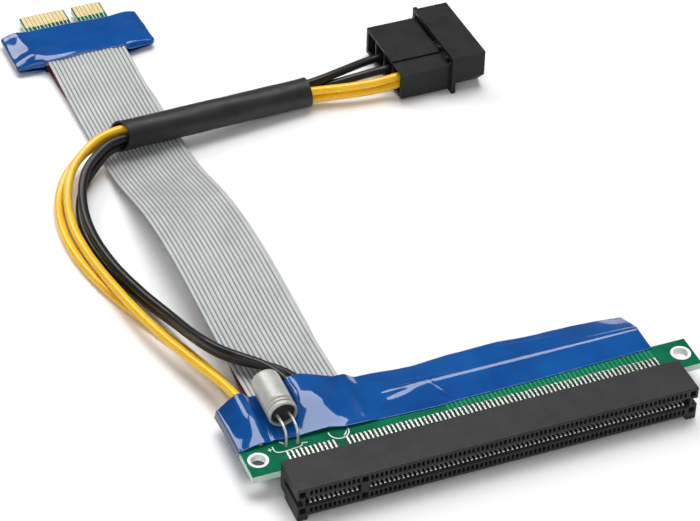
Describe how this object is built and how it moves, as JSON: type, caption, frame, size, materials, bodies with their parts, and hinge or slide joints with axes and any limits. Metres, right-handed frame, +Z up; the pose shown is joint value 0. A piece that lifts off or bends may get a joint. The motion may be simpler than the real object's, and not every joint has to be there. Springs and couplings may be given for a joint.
{
  "type": "card slot extension cable",
  "caption": "Flexible card slot extension: a long slot on a small taped board, flat ribbons to a short card edge, and a sleeved power lead with its plug.",
  "frame": {"origin": "Centre of the slot board assembly's footprint (slot, board, tape and capacitor), at the height of the slot's feet, where the whole cable lies on a flat surface.", "axes": "+X runs along the slot, +Y runs from the slot's mating face towards the card edge, +Z is up."},
  "size_m": [0.1148, 0.1895, 0.0129],
  "materials": {
    "housing_plastic": "matt moulded nylon",
    "contact_metal": "plated spring contacts",
    "board_laminate": "green solder mask",
    "tinned_metal": "bright tin plating",
    "blue_tape": "glossy blue film",
    "can_sleeve": "pale satin can",
    "black_rubber": "matt rubber",
    "solder": "dull solder",
    "ribbon_insulation": "satin grey insulation",
    "gold_plating": "hard gold",
    "yellow_insulation": "satin yellow insulation",
    "black_insulation": "satin black insulation",
    "sleeve_plastic": "satin black tubing",
    "plug_plastic": "satin black nylon"
  },
  "bodies": {
    "root": {"slot_housing": "housing_plastic", "slot_contacts_upper": "contact_metal", "slot_contacts_lower": "contact_metal", "slot_board": "board_laminate", "plated_holes": "tinned_metal", "slot_tape_top": "blue_tape", "slot_tape_bottom": "blue_tape", "capacitor_can": "can_sleeve", "capacitor_bung": "black_rubber", "capacitor_leads": "tinned_metal", "capacitor_solder": "solder", "upper_ribbon": "ribbon_insulation", "lower_ribbon": "ribbon_insulation", "slot_ribbon_joints_top": "solder", "slot_ribbon_joints_bottom": "solder", "card_ribbon_joints_top": "solder", "card_ribbon_joints_bottom": "solder", "edge_card": "board_laminate", "gold_fingers_top": "gold_plating", "gold_fingers_bottom": "gold_plating", "edge_card_tape": "blue_tape", "yellow_wire_inner": "yellow_insulation", "yellow_wire_outer": "yellow_insulation", "black_wire_inner": "black_insulation", "black_wire_outer": "black_insulation", "wire_joints": "solder", "wire_sleeve": "sleeve_plastic", "plug_housing": "plug_plastic", "plug_pin_live": "tinned_metal", "plug_pins_ground": "tinned_metal"}
  },
  "joints": []
}
